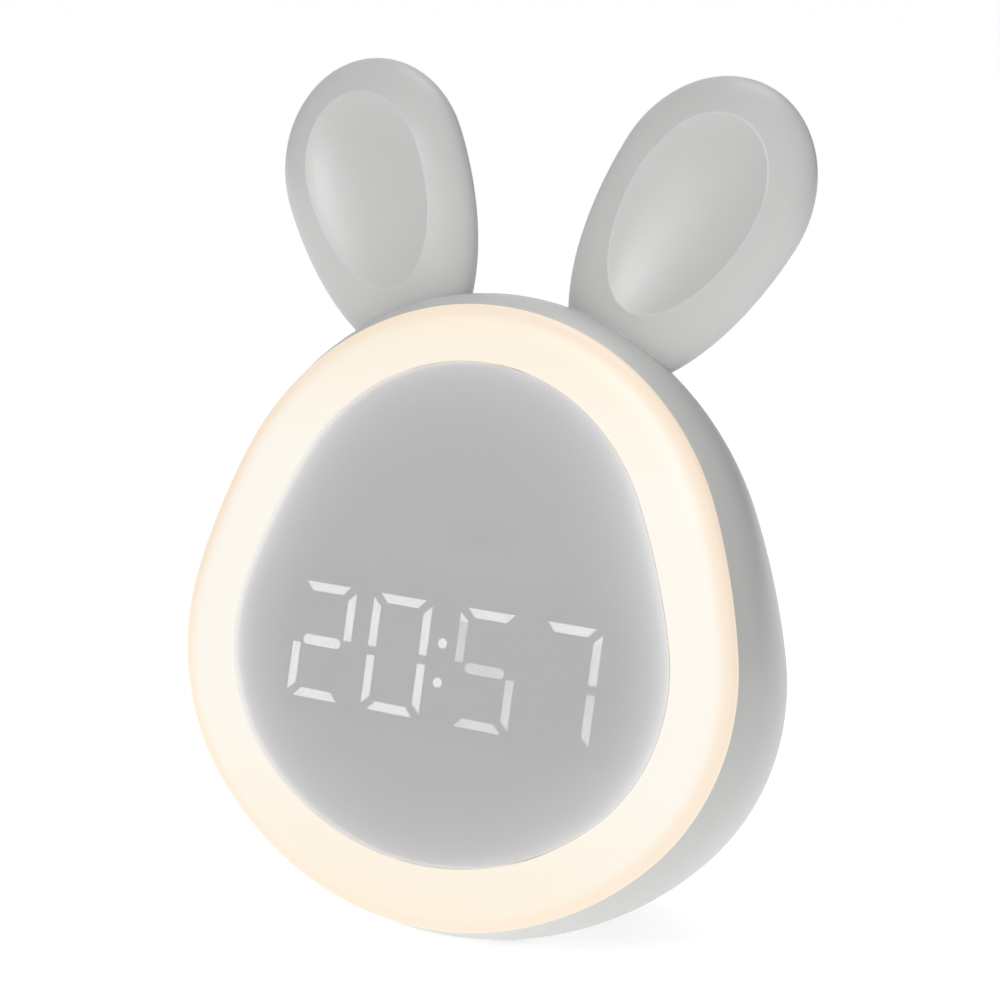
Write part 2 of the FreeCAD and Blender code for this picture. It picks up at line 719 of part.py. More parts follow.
def digit_segments(near, far, shrink):
    """Seven segments of one digit about its middle, named a to g."""
    x1 = DIGIT_WIDTH / 2 - shrink
    y1 = DIGIT_HEIGHT / 2 - shrink
    width = SEGMENT_WIDTH - 2 * shrink
    start = DIGIT_WIDTH / 2 - SEGMENT_INSET - shrink
    tip = DIGIT_HEIGHT / 2 - SEGMENT_TIP - shrink
    top = flat_bar([(-start, y1), (start, y1), (start - SEGMENT_BEVEL, y1 - width),
                    (SEGMENT_BEVEL - start, y1 - width)], near, far)
    side = flat_bar([(x1, tip), (x1, SEGMENT_SPLIT + shrink), (x1 - width, SEGMENT_SPLIT + shrink),
                     (x1 - width, tip - SEGMENT_BEVEL)], near, far)
    radius = MIDDLE_WIDTH / 2 - shrink
    reach = MIDDLE_HALF_LENGTH - MIDDLE_WIDTH / 2
    middle = joined([face_block(-reach, reach, -radius, radius, near, far),
                     face_rod(radius, reach, 0, near, far),
                     face_rod(radius, -reach, 0, near, far)])
    across = Vector(1, 0, 0)
    upwards = Vector(0, 1, 0)
    origin = Vector(0, 0, 0)
    left = side.mirror(origin, across)
    return {
        "a": top, "b": side, "c": side.mirror(origin, upwards), "d": top.mirror(origin, upwards),
        "e": left.mirror(origin, upwards), "f": left, "g": middle,
    }


def display_marks(near, far, shrink):
    """Lit segments, dark segments and colon dots of the time shown."""
    lit = []
    dark = []
    for i, figure in enumerate(TIME_SHOWN):
        x = DISPLAY_X + (i - 1.5) * DIGIT_PITCH + math.copysign(COLON_SPACE / 2, i - 1.5)
        for name, segment in digit_segments(near, far, shrink).items():
            segment.translate(Vector(x, DISPLAY_Y, 0))
            (lit if name in SEGMENTS_LIT[figure] else dark).append(segment)
    dots = []
    for side in (1, -1):
        y = DISPLAY_Y + side * COLON_SPREAD / 2
        dots.append(face_rod(COLON_R - shrink, DISPLAY_X, y, near, far))
    return lit, dark, dots


def display_pieces():
    """Display block with its segments, and the board behind it."""
    near = WINDOW_THICKNESS + DISPLAY_GAP
    far = FRAME_DEPTH - BOARD

    def slab(margin, start, end):
        return face_block(DISPLAY_X - DISPLAY_HALF_WIDTH - margin,
                          DISPLAY_X + DISPLAY_HALF_WIDTH + margin,
                          DISPLAY_Y - DISPLAY_HALF_HEIGHT - margin,
                          DISPLAY_Y + DISPLAY_HALF_HEIGHT + margin, start, end)

    pockets = []
    for marks in display_marks(near, near + SEGMENT_DEPTH, 0):
        pockets.extend(marks)
    block = slab(0, near, far).cut(pockets)
    lit, dark, dots = display_marks(near, near + SEGMENT_DEPTH, SEGMENT_GAP)
    return {
        "display_module": stand(block),
        "display_board": stand(slab(BOARD_MARGIN, far, FRAME_DEPTH)),
        "lit_segments": stand(Part.makeCompound(lit)),
        "dark_segments": stand(Part.makeCompound(dark)),
        "colon_dots": stand(Part.makeCompound(dots)),
    }


def battery_pieces():
    """Pouch cell and the tape that holds it to the back of the light frame."""
    near = FRAME_DEPTH + FRAME_THICKNESS
    far = near + TAPE

    def slab(width, height, start, end):
        return face_block(-width / 2, width / 2, CELL_Y - height / 2, CELL_Y + height / 2,
                          start, end)

    cell = slab(CELL_WIDTH, CELL_HEIGHT, far, far + CELL_THICKNESS)
    edges = [edge for edge in cell.Edges if edge.BoundBox.YLength > CELL_HEIGHT / 2]
    cell = cell.makeFillet(CELL_CORNER_R, edges)
    tape = slab(CELL_WIDTH - TAPE_MARGIN, CELL_HEIGHT - TAPE_MARGIN, near, far)
    return {"battery_cell": stand(cell), "battery_tape": stand(tape)}


def button_pieces():
    """Five push buttons, each in front of its own switch on the main board."""
    pieces = {}
    switch_top = SWITCH_BASE - SWITCH_HEIGHT
    flange = WALL + REST_GAP
    flange_end = flange + BUTTON_FLANGE_THICKNESS
    entry = switch_top + BUTTON_ENTRY
    well_end = entry + BUTTON_TRAVEL + SWITCH_WELL_FLOOR
    cap = turned([
        (0, -BUTTON_PROUD), (BUTTON_R - BUTTON_EDGE, -BUTTON_PROUD),
        (BUTTON_R, BUTTON_EDGE - BUTTON_PROUD), (BUTTON_R, flange),
        (BUTTON_R + BUTTON_FLANGE, flange), (BUTTON_R + BUTTON_FLANGE, flange_end),
        (BUTTON_STEM_R, flange_end), (BUTTON_STEM_R, entry), (0, entry),
    ])
    half = SWITCH_SIZE / 2
    for name, x in button_places():
        pieces[name + "_button"] = on_back(cap, x, BUTTON_Z, 0)
        switch = back_block(x - half, x + half, BUTTON_Z - half, BUTTON_Z + half,
                            switch_top, SWITCH_BASE)
        well = back_rod(BUTTON_STEM_R + SWITCH_WELL_GAP, x, BUTTON_Z, switch_top, well_end)
        pieces[name + "_switch"] = switch.cut(well)
    return pieces


def socket_pieces():
    """Charging socket, and the power switch with its sliding knob."""
    def bar(skin, start, end):
        return back_slot(SOCKET_WIDTH - 2 * skin, SOCKET_HEIGHT - 2 * skin,
                         SOCKET_X, SOCKET_Z, start, end)

    floor = SWITCH_BASE - 2 * SOCKET_SKIN
    tongue_x = SOCKET_TONGUE_WIDTH / 2
    tongue_z = SOCKET_TONGUE_THICKNESS / 2
    socket = bar(0, SOCKET_RECESS, SWITCH_BASE).cut(bar(SOCKET_SKIN, SOCKET_RECESS, floor))
    socket = socket.fuse(back_block(SOCKET_X - tongue_x, SOCKET_X + tongue_x,
                                    SOCKET_Z - tongue_z, SOCKET_Z + tongue_z,
                                    floor - SOCKET_TONGUE_LENGTH, floor))

    plate = WALL + REST_GAP
    plate_end = plate + SLIDER_PLATE
    top = SWITCH_BASE - POWER_SWITCH_HEIGHT
    entry = top + SLIDER_PIN_ENTRY
    rest_x = SLIDER_X - SLIDER_TRAVEL / 2
    cover = SLIDER_WIDTH + 2 * SLIDER_TRAVEL + 2 * SLIDER_COVER
    knob = joined([
        slider_block(SLIDER_WIDTH, SLIDER_WIDTH, rest_x, -SLIDER_PROUD, plate_end),
        slider_block(cover, SLIDER_WIDTH + 2 * SLIDER_COVER, rest_x, plate, plate_end),
        slider_block(SLIDER_PIN, SLIDER_PIN, rest_x, plate_end, entry),
    ])
    track = slider_block(SLIDER_PIN + SLIDER_TRAVEL + 2 * SWITCH_WELL_GAP,
                         SLIDER_PIN + 2 * SWITCH_WELL_GAP, SLIDER_X, top,
                         entry + SWITCH_WELL_FLOOR)
    switch = slider_block(POWER_SWITCH_LENGTH, POWER_SWITCH_WIDTH, SLIDER_X, top, SWITCH_BASE)
    return {
        "usb_socket": socket,
        "power_switch_body": switch.cut(track),
        "power_switch_knob": knob,
    }


def main_board_pieces():
    """Main board on its posts, and the larger parts on its inner side."""
    far = SWITCH_BASE + BOARD
    board = back_block(-MAIN_BOARD_HALF_WIDTH, MAIN_BOARD_HALF_WIDTH, MAIN_BOARD_BOTTOM,
                       MAIN_BOARD_TOP, SWITCH_BASE, far)
    board = board.cut([back_rod(SCREW_R + HOLE_GAP, x, z, SWITCH_BASE, far)
                       for x, z in board_posts()])
    parts = []
    for width, height, thickness, x, z in (CHIP, MEMORY, CRYSTAL, CONNECTOR):
        parts.append(back_block(x - width / 2, x + width / 2, z - height / 2, z + height / 2,
                                far, far + thickness))
    return {"main_board": board, "board_parts": Part.makeCompound(parts)}


def speaker_pieces():
    """Speaker behind the grille: steel frame with its magnet, cone, and foam gasket."""
    seat = WALL + GASKET_THICKNESS
    inner = SPEAKER_R - SPEAKER_FLANGE
    rim = inner + SURROUND
    back = seat + SPEAKER_DEPTH - MAGNET_HEIGHT
    end = seat + SPEAKER_DEPTH
    basket = seat + SPEAKER_FLANGE_THICKNESS
    frame = turned([
        (0, back - SPEAKER_STEEL), (MAGNET_R, back - SPEAKER_STEEL), (inner, basket - SPEAKER_STEEL),
        (inner, seat), (SPEAKER_R, seat), (SPEAKER_R, basket), (inner + SPEAKER_STEEL, basket),
        (MAGNET_R + SPEAKER_STEEL, back), (MAGNET_R, back), (MAGNET_R, end), (0, end),
    ])
    low = seat - CONE_THICKNESS
    deep = seat + CONE_DEPTH
    cone = turned([
        (0, deep - CONE_THICKNESS), (DUST_CAP_R, deep - CONE_THICKNESS),
        (inner - SURROUND, low), (rim, low), (rim, seat), (inner - SURROUND, seat),
        (DUST_CAP_R, deep), (0, deep),
    ])
    gasket = turned([(rim + SURROUND_GAP, WALL), (SPEAKER_R, WALL), (SPEAKER_R, seat),
                     (rim + SURROUND_GAP, seat)])
    return {
        "speaker_frame": on_back(frame, 0, SPEAKER_Z, 0),
        "speaker_cone": on_back(cone, 0, SPEAKER_Z, 0),
        "speaker_gasket": on_back(gasket, 0, SPEAKER_Z, 0),
    }


def screw_pieces():
    """Every screw by itself: case screws from behind, frame screws from the front."""
    pieces = {}
    origin = Vector(0, 0, 0)
    across = Vector(1, 0, 0)
    for i, angle in enumerate(headings(CASE_SCREW_ANGLES), 1):
        middle, seam = case_screw_seam(angle)
        piece = screw(CASE_SCREW_LENGTH)
        piece.translate(Vector(middle.x, middle.y, -seam - CASE_SCREW_SEAT))
        pieces["case_screw_%d" % i] = stand(piece)
    for i, angle in enumerate(headings(FRAME_SCREW_ANGLES), 1):
        middle = RING.edge_point(angle, -FRAME_SCREW_INSET)
        piece = screw(FRAME_SCREW_LENGTH)
        piece.rotate(origin, across, 180)
        piece.translate(Vector(middle.x, middle.y, BOARD - FRAME_DEPTH))
        pieces["frame_screw_%d" % i] = stand(piece)
    for i, (x, z) in enumerate(board_posts(), 1):
        piece = screw(BOARD_SCREW_LENGTH)
        piece.rotate(origin, across, -90)
        piece.translate(Vector(x, BACK_Y - SWITCH_BASE - BOARD, z))
        pieces["board_screw_%d" % i] = piece
    return pieces


def foot_pieces():
    """Four rubber feet."""
    pieces = {}
    for row, y in (("front", FRONT_FOOT_Y), ("rear", REAR_FOOT_Y)):
        for side, foot in zip(("right", "left"), feet(y)):
            pieces["%s_foot_%s" % (row, side)] = foot
    return pieces


def all_pieces():
    """Every sub-part by name, in the standing frame."""
    front, cover, caps = case_pieces()
    pieces = {"front_housing": front, "rear_cover": cover,
              "left_ear_cap": caps[0], "right_ear_cap": caps[1]}
    for group in (light_pieces(), display_pieces(), battery_pieces(), button_pieces(),
                  socket_pieces(), main_board_pieces(), speaker_pieces(), screw_pieces(),
                  foot_pieces()):
        pieces.update(group)
    return pieces


PIECES = all_pieces()
FRONT_Y = PIECES["diffuser_ring"].optimalBoundingBox(False).YMin
REAR_Y = max(PIECES[node].optimalBoundingBox(False).YMax for node in ("left_ear_cap", "set_button"))

os.makedirs("parts", exist_ok=True)

# The origin is on the table, under the middle of the whole clock.
for node, shape in PIECES.items():
    shape.translate(Vector(0, -(FRONT_Y + REAR_Y) / 2, 0))
    shape.exportStep("parts/%s.step" % node)
print("moved back by", (FRONT_Y + REAR_Y) / 2)
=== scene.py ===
"""Looks of a children's alarm clock with a night light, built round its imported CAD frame.

The clock stands on the table at z = 0, in metres, and its face looks towards -Y and leans back.
Each finish is a frozen dataclass that becomes one node material. Each sub-assembly is a class that
dresses its CAD nodes, and the display also adds the ring light that leaks into its panel.
"""

import logging
import math
from dataclasses import dataclass, field
from enum import Enum

import bpy
from mathutils import Matrix, Vector


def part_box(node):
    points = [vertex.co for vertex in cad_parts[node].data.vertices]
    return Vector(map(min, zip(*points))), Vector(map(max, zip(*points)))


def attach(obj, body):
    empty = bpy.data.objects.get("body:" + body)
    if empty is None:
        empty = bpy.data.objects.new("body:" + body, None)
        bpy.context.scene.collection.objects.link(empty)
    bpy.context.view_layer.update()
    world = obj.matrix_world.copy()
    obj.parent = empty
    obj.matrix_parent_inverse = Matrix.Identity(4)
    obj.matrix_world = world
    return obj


MM = 0.001
LOG = logging.getLogger("alarm_clock")
ROOT_BODY = "clock"
FACE_LEAN = math.radians(14.0)
FACE_NORMAL = Vector((0.0, -math.cos(FACE_LEAN), math.sin(FACE_LEAN)))
FACE_UP = Vector((0.0, math.sin(FACE_LEAN), math.cos(FACE_LEAN)))

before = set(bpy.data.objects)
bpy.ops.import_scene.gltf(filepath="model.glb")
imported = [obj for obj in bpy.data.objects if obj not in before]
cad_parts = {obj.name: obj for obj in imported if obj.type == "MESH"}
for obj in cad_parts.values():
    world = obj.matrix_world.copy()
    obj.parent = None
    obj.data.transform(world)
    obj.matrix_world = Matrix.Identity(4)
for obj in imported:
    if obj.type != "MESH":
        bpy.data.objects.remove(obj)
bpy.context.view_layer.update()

Colour = tuple[float, float, float, float]


class Tone(Enum):
    """Named surface colours of the clock, as sRGB hex values."""

    SAGE_GREY = "#C6C7C5"
    OPAL_BASE = "#605E5A"
    WARM_WHITE = "#FFFAEF"
    CREAM_WHITE = "#FFF0DA"
    PEACH_WHITE = "#FFEBD3"
    WINDOW_GREY = "#C2C1C1"
    MOULDED_WHITE = "#E9E8E4"
    MASK_GREEN = "#1F5A3A"
    MASK_WHITE = "#EDEDE8"
    PHOSPHOR = "#E8C95A"
    DISPLAY_DARK = "#1B1B1C"
    FIGURE_WHITE = "#F7F7FA"
    FIGURE_OFF = "#2A2A2C"
    SOOT_BLACK = "#161617"
    FOIL = "#B9BCC2"
    TIN = "#B5B6B8"
    CONE_BLACK = "#1D1D20"
    BUTTON_GREY = "#DADCD9"
    FOAM_BLACK = "#262628"
    FOOT_GREY = "#8C8F8C"
    PAPER_WHITE = "#FFFFFF"
    EDGE_GLOW = "#F5F5F8"


def linear(tone: Tone) -> Colour:
    """Turn a named sRGB colour into the linear values that a shader takes.

    Args:
        tone: The named colour.

    Returns:
        Linear red, green and blue, and an alpha of one.
    """
    channels = [int(tone.value[i:i + 2], 16) / 255 for i in (1, 3, 5)]
    values = [c / 12.92 if c <= 0.04045 else ((c + 0.055) / 1.055) ** 2.4 for c in channels]
    return values[0], values[1], values[2], 1.0


def shaded(colour: Colour, factor: float, lift: float = 0.0) -> Colour:
    """Make a linear colour darker or lighter.

    Args:
        colour: The linear colour.
        factor: What each channel is multiplied by.
        lift: What each channel then gains.

    Returns:
        The new colour, with no channel over one.
    """
    red, green, blue = (min(1.0, channel * factor + lift) for channel in colour[:3])
    return red, green, blue, 1.0


def add_node(tree: bpy.types.NodeTree, kind: str, settings: dict | None = None,
             links: dict | None = None) -> bpy.types.Node:
    """Add a node, set its properties and input sockets, and link what feeds it.

    A linked input may have a plain value too, for programs that read no links.

    Args:
        tree: The node tree that takes the node.
        kind: Blender's name for the node's type.
        settings: Property names, or input names or numbers, with their values.
        links: Input names or numbers with the output sockets that feed them.

    Returns:
        The new node.
    """
    node = tree.nodes.new(kind)
    for name, value in (settings or {}).items():
        if isinstance(name, str) and hasattr(node, name):
            setattr(node, name, value)
        else:
            node.inputs[name].default_value = value
    for name, source in (links or {}).items():
        tree.links.new(source, node.inputs[name])
    return node


def face_distance(tree: bpy.types.NodeTree, place: bpy.types.NodeSocket, centre: Vector,
                  direction: Vector) -> bpy.types.NodeSocket:
    """Measure how far a point lies from the face's centre along a direction.

    Args:
        tree: The material's node tree.
        place: The point's coordinates.
        centre: The middle of the face's front plane.
        direction: The direction, of length one.

    Returns:
        The distance in metres.
    """
    offset = add_node(tree, "ShaderNodeVectorMath", {"operation": "SUBTRACT", 1: centre},
                      {0: place})
    along = add_node(tree, "ShaderNodeVectorMath", {"operation": "DOT_PRODUCT", 1: direction},
                     {0: offset.outputs["Vector"]})
    return along.outputs["Value"]


def nearness_to_ends(tree: bpy.types.NodeTree, place: bpy.types.NodeSocket, centre: Vector,
                     side_mm: float, end_mm: float) -> bpy.types.NodeSocket:
    """Tell the face's top and bottom from its sides.

    Args:
        tree: The material's node tree.
        place: The point's coordinates.
        centre: The middle of the face's front plane.
        side_mm: How far above or below the centre the sides reach.
        end_mm: How far above or below the centre the top and the bottom start.

    Returns:
        Zero at the sides, one at the top and the bottom, and a share in between.
    """
    climb = face_distance(tree, place, centre, FACE_UP)
    away = add_node(tree, "ShaderNodeMath", {"operation": "ABSOLUTE"}, {0: climb})
    share = add_node(tree, "ShaderNodeMapRange",
                     {"From Min": side_mm * MM, "From Max": end_mm * MM},
                     {"Value": away.outputs["Value"]})
    return share.outputs["Result"]


@dataclass(frozen=True)
class Finish:
    """A finish, which becomes one node material of the same name."""

    name: str

    def surface(self, tree: bpy.types.NodeTree) -> bpy.types.NodeSocket:
        """Lay out the finish's nodes.

        Args:
            tree: The material's node tree, which is empty.

        Returns:
            The shader's output socket.
        """
        raise NotImplementedError

    def material(self) -> bpy.types.Material:
        """Build the material.

        Returns:
            The material, with its shader at the surface.
        """
        material = bpy.data.materials.new(self.name)
        material.use_nodes = True
        tree = material.node_tree
        tree.nodes.clear()
        add_node(tree, "ShaderNodeOutputMaterial", links={"Surface": self.surface(tree)})
        return material


@dataclass(frozen=True)
class MouldedPlastic(Finish):
    """Injection-moulded plastic: an even colour under a fine spark-eroded skin."""

    tone: Tone
    roughness: float = 0.5
    ior: float = 1.53
    # Spark erosion leaves pits of about 0.05 mm. They are drawn coarser, for close views.
    grain_mm: float = 0.5
    grain_depth_mm: float = 0.006
    grain_detail: float = 3.0
    grain_roughness: float = 0.6
    flow_mm: float = 45.0
    flow_detail: float = 2.0
    flow_low: float = 0.3
    flow_high: float = 0.7
    flow_change: float = 0.03
    gloss_change: float = 0.03
    edge_mm: float = 0.25
    edge_samples: int = 6
    # How far the rounded corner has turned where its painted highlight starts, and where it is
    # full.
    highlight_start_deg: float = 5.13
    highlight_full_deg: float = 9.6
    edge_highlight_gain: float = 0.05

    def surface(self, tree: bpy.types.NodeTree) -> bpy.types.NodeSocket:
        """Lay out drifting colour, grain in the bump, softened corners and a painted highlight on
        them.

        Args:
            tree: The material's node tree, which is empty.

        Returns:
            The shader's output socket.
        """
        place = add_node(tree, "ShaderNodeTexCoord").outputs["Object"]
        # Resin cools unevenly, so the tone and the gloss drift over a few centimetres.
        flow = add_node(tree, "ShaderNodeTexNoise",
                        {"Scale": 1 / (self.flow_mm * MM), "Detail": self.flow_detail},
                        {"Vector": place})
        drift = add_node(tree, "ShaderNodeMapRange",
                         {"From Min": self.flow_low, "From Max": self.flow_high},
                         {"Value": flow.outputs["Fac"]})
        tone = linear(self.tone)
        colour = add_node(tree, "ShaderNodeMix",
                          {"data_type": "RGBA", 6: shaded(tone, 1 - self.flow_change),
                           7: shaded(tone, 1 + self.flow_change)}, {0: drift.outputs["Result"]})
        gloss = add_node(tree, "ShaderNodeMapRange",
                         {"To Min": self.roughness - self.gloss_change,
                          "To Max": self.roughness + self.gloss_change},
                         {"Value": flow.outputs["Fac"]})
        grain = add_node(tree, "ShaderNodeTexNoise",
                         {"Scale": 1 / (self.grain_mm * MM), "Detail": self.grain_detail,
                          "Roughness": self.grain_roughness}, {"Vector": place})
        edges = add_node(tree, "ShaderNodeBevel",
                         {"samples": self.edge_samples, "Radius": self.edge_mm * MM})
        # Painted highlight: corners are mixed towards white, as if they catch more light.
        straight = add_node(tree, "ShaderNodeNewGeometry").outputs["Normal"]
        turn = add_node(tree, "ShaderNodeVectorMath", {"operation": "DOT_PRODUCT"},
                        {0: edges.outputs["Normal"], 1: straight})
        corner = add_node(tree, "ShaderNodeMapRange",
                          {"From Min": math.cos(math.radians(self.highlight_start_deg)),
                           "From Max": math.cos(math.radians(self.highlight_full_deg)),
                           "To Max": self.edge_highlight_gain}, {"Value": turn.outputs["Value"]})
        painted_highlight_colour = add_node(tree, "ShaderNodeMix",
                             {"data_type": "RGBA", 7: linear(Tone.PAPER_WHITE)},
                             {0: corner.outputs["Result"], 6: colour.outputs[2]})
        bump = add_node(tree, "ShaderNodeBump",
                        {"Strength": 1.0, "Distance": self.grain_depth_mm * MM},
                        {"Height": grain.outputs["Fac"], "Normal": edges.outputs["Normal"]})
        shader = add_node(tree, "ShaderNodeBsdfPrincipled",
                          {"Base Color": tone, "Roughness": self.roughness, "IOR": self.ior},
                          {"Base Color": painted_highlight_colour.outputs[2],
                           "Roughness": gloss.outputs["Result"],
                           "Normal": bump.outputs["Normal"]})
        return shader.outputs["BSDF"]


@dataclass(frozen=True)
class LitDiffuser(Finish):
    """Milky polycarbonate lit from inside: nearly white in front, peach where it turns away."""

    front_centre: Vector
    strength: float = 0.84
    edge_share: float = 0.92
    round_depth_mm: float = 2.1
    turn_share: float = 0.35
    side_mm: float = 30.0
    end_mm: float = 66.0
    roughness: float = 0.42
    ior: float = 1.585

    def surface(self, tree: bpy.types.NodeTree) -> bpy.types.NodeSocket:
        """Lay out a glow that follows the depth behind the front, over a satin skin.

        Args:
            tree: The material's node tree, which is empty.

        Returns:
            The shader's output socket.
        """
        place = add_node(tree, "ShaderNodeTexCoord").outputs["Object"]
        # Light leaves the thick rounded rim after a longer way through the plastic, so warmer.
        height = face_distance(tree, place, self.front_centre, FACE_NORMAL)
        depth = add_node(tree, "ShaderNodeMapRange",
                         {"From Min": 0.0, "From Max": -self.round_depth_mm * MM},
                         {"Value": height})
        # The ring is nearly white at its sides, and creamier at its top and bottom.
        ends = nearness_to_ends(tree, place, self.front_centre, self.side_mm, self.end_mm)
        front = add_node(tree, "ShaderNodeMix",
                         {"data_type": "RGBA", 6: linear(Tone.WARM_WHITE),
                          7: linear(Tone.CREAM_WHITE)}, {0: ends})
        turn = add_node(tree, "ShaderNodeMapRange",
                        {"interpolation_type": "SMOOTHSTEP", "From Max": self.turn_share},
                        {"Value": depth.outputs["Result"]})
        glow = add_node(tree, "ShaderNodeMix",
                        {"data_type": "RGBA", 7: linear(Tone.PEACH_WHITE)},
                        {0: turn.outputs["Result"], 6: front.outputs[2]})
        level = add_node(tree, "ShaderNodeMapRange",
                         {"To Min": self.strength, "To Max": self.strength * self.edge_share},
                         {"Value": depth.outputs["Result"]})
        shader = add_node(tree, "ShaderNodeBsdfPrincipled",
                          {"Base Color": linear(Tone.OPAL_BASE), "Roughness": self.roughness,
                           "IOR": self.ior, "Emission Color": linear(Tone.WARM_WHITE),
                           "Emission Strength": self.strength},
                          {"Emission Color": glow.outputs[2],
                           "Emission Strength": level.outputs["Result"]})
        return shader.outputs["BSDF"]


@dataclass(frozen=True)
class SmokedPanel(Finish):
    """Clear acrylic under a milky grey front film: the lit figures shine through the film."""

    front_centre: Vector
    clear_share: float = 0.14
    film_mm: float = 0.1
    frost: float = 0.08
    polish: float = 0.32
    ior: float = 1.49
    # The film is too thin to bend what shines through it, so its index is close to that of air.
    film_ior: float = 1.02
    # A matt film's texture is finer than 0.1 mm. It is drawn coarser, for close views.
    speckle_mm: float = 0.8
    speckle_depth_mm: float = 0.003
    speckle_detail: float = 2.0

    def surface(self, tree: bpy.types.NodeTree) -> bpy.types.NodeSocket:
        """Lay out a film that lets a small share of light through, on a clear body.

        Args:
            tree: The material's node tree, which is empty.

        Returns:
            The shader's output socket.
        """
        place = add_node(tree, "ShaderNodeTexCoord").outputs["Object"]
        height = face_distance(tree, place, self.front_centre, FACE_NORMAL)
        behind = add_node(tree, "ShaderNodeMath",
                          {"operation": "LESS_THAN", 1: -self.film_mm * MM}, {0: height})
        share = add_node(tree, "ShaderNodeMath", {"operation": "MAXIMUM", 1: self.clear_share},
                         {0: behind.outputs["Value"]})
        speckle = add_node(tree, "ShaderNodeTexNoise",
                           {"Scale": 1 / (self.speckle_mm * MM), "Detail": self.speckle_detail},
                           {"Vector": place})
        bump = add_node(tree, "ShaderNodeBump",
                        {"Strength": 1.0, "Distance": self.speckle_depth_mm * MM},
                        {"Height": speckle.outputs["Fac"]})
        film = add_node(tree, "ShaderNodeBsdfPrincipled",
                        {"Base Color": linear(Tone.WINDOW_GREY), "Roughness": self.polish,
                         "IOR": self.ior}, {"Normal": bump.outputs["Normal"]})
        through = add_node(tree, "ShaderNodeBsdfRefraction",
                           {"Color": linear(Tone.PAPER_WHITE), "Roughness": self.frost,
                            "IOR": self.film_ior})
        panel = add_node(tree, "ShaderNodeMixShader",
                         links={0: share.outputs["Value"], 1: film.outputs["BSDF"],
                                2: through.outputs["BSDF"]})
        return panel.outputs["Shader"]


@dataclass(frozen=True)
class LitFigure(Finish):
    """Diffusing resin of a display segment, lit by its own diode."""

    third_x: float
    fourth_x: float
    low_z: float
    high_z: float
    bar_mm: float = 3.0
    strength: float = 2.05
    dim_top: float = 0.42
    dim_foot: float = 0.75
    upper_share: float = 0.45
    roughness: float = 0.6

    def surface(self, tree: bpy.types.NodeTree) -> bpy.types.NodeSocket:
        """Lay out full light, but for the bars that the picture caught dimmer.

        Args:
            tree: The material's node tree, which is empty.

        Returns:
            The shader's output socket.
        """
        place = add_node(tree, "ShaderNodeTexCoord").outputs["Object"]
        axes = add_node(tree, "ShaderNodeSeparateXYZ", links={0: place})
        across, upwards = axes.outputs["X"], axes.outputs["Z"]
        # The display lights its figures in turn, and the picture caught the last two between
        # turns: dim under their top bars, and less so in the last figure's upper bar.
        tests = (("GREATER_THAN", self.third_x, across),
                 ("LESS_THAN", self.high_z - self.bar_mm * MM, upwards),
                 ("LESS_THAN", self.fourth_x, across),
                 ("LESS_THAN", (self.low_z + self.high_z) / 2, upwards))
        third, under, before, lower = (
            add_node(tree, "ShaderNodeMath", {"operation": test, 1: edge}, {0: value})
            for test, edge, value in tests)
        fading = add_node(tree, "ShaderNodeMath", {"operation": "MAXIMUM", 1: self.upper_share},
                          {0: before.outputs["Value"]})
        fourth = add_node(tree, "ShaderNodeMath", {"operation": "MAXIMUM"},
                          {0: fading.outputs["Value"], 1: lower.outputs["Value"]})
        caught = add_node(tree, "ShaderNodeMath", {"operation": "MULTIPLY"},
                          {0: third.outputs["Value"], 1: under.outputs["Value"]})
        dim = add_node(tree, "ShaderNodeMath", {"operation": "MULTIPLY"},
                       {0: caught.outputs["Value"], 1: fourth.outputs["Value"]})
        dimmed = add_node(tree, "ShaderNodeMapRange",
                          {"From Min": self.low_z, "From Max": self.high_z,
                           "To Min": self.strength * self.dim_foot,
                           "To Max": self.strength * self.dim_top}, {"Value": upwards})
        level = add_node(tree, "ShaderNodeMix", {"data_type": "FLOAT", 2: self.strength},
                         {0: dim.outputs["Value"], 3: dimmed.outputs["Result"]})
        shader = add_node(tree, "ShaderNodeBsdfPrincipled",
                          {"Base Color": linear(Tone.FIGURE_WHITE), "Roughness": self.roughness,
                           "Emission Color": linear(Tone.FIGURE_WHITE),
                           "Emission Strength": self.strength},
                          {"Emission Strength": level.outputs["Result"]})
        return shader.outputs["BSDF"]


